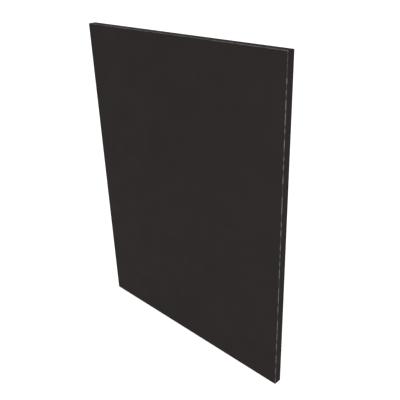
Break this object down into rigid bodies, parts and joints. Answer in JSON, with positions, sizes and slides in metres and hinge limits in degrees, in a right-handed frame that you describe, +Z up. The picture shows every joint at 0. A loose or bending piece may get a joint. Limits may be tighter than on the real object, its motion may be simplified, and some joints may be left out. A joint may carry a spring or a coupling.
{
  "type": "kick plate",
  "caption": "Upright flat rectangular kick plate: a laminate-faced board with slim rounded edge bands and foam mounting tape across its back, to protect the foot of a door or wall.",
  "frame": {"origin": "centre of the plane where the mounting tape meets the door, which is the back face of the centre strip", "axes": "+X to the right seen from the front, +Y through the plate towards the door, +Z up; the front face looks along -Y"},
  "size_m": [0.54, 0.0195, 0.7],
  "materials": {
    "front_laminate": "matte",
    "edge_band": "matte",
    "back_laminate": "matte",
    "core": "matte",
    "foam_tape": "satin"
  },
  "bodies": {
    "root": {"core_board": "core", "front_laminate": "front_laminate", "back_laminate": "back_laminate", "left_edge_band": "edge_band", "right_edge_band": "edge_band", "top_edge_band": "edge_band", "bottom_edge_band": "edge_band", "left_tape": "foam_tape", "right_tape": "foam_tape", "top_tape": "foam_tape", "bottom_tape": "foam_tape", "centre_tape": "foam_tape"}
  },
  "joints": []
}
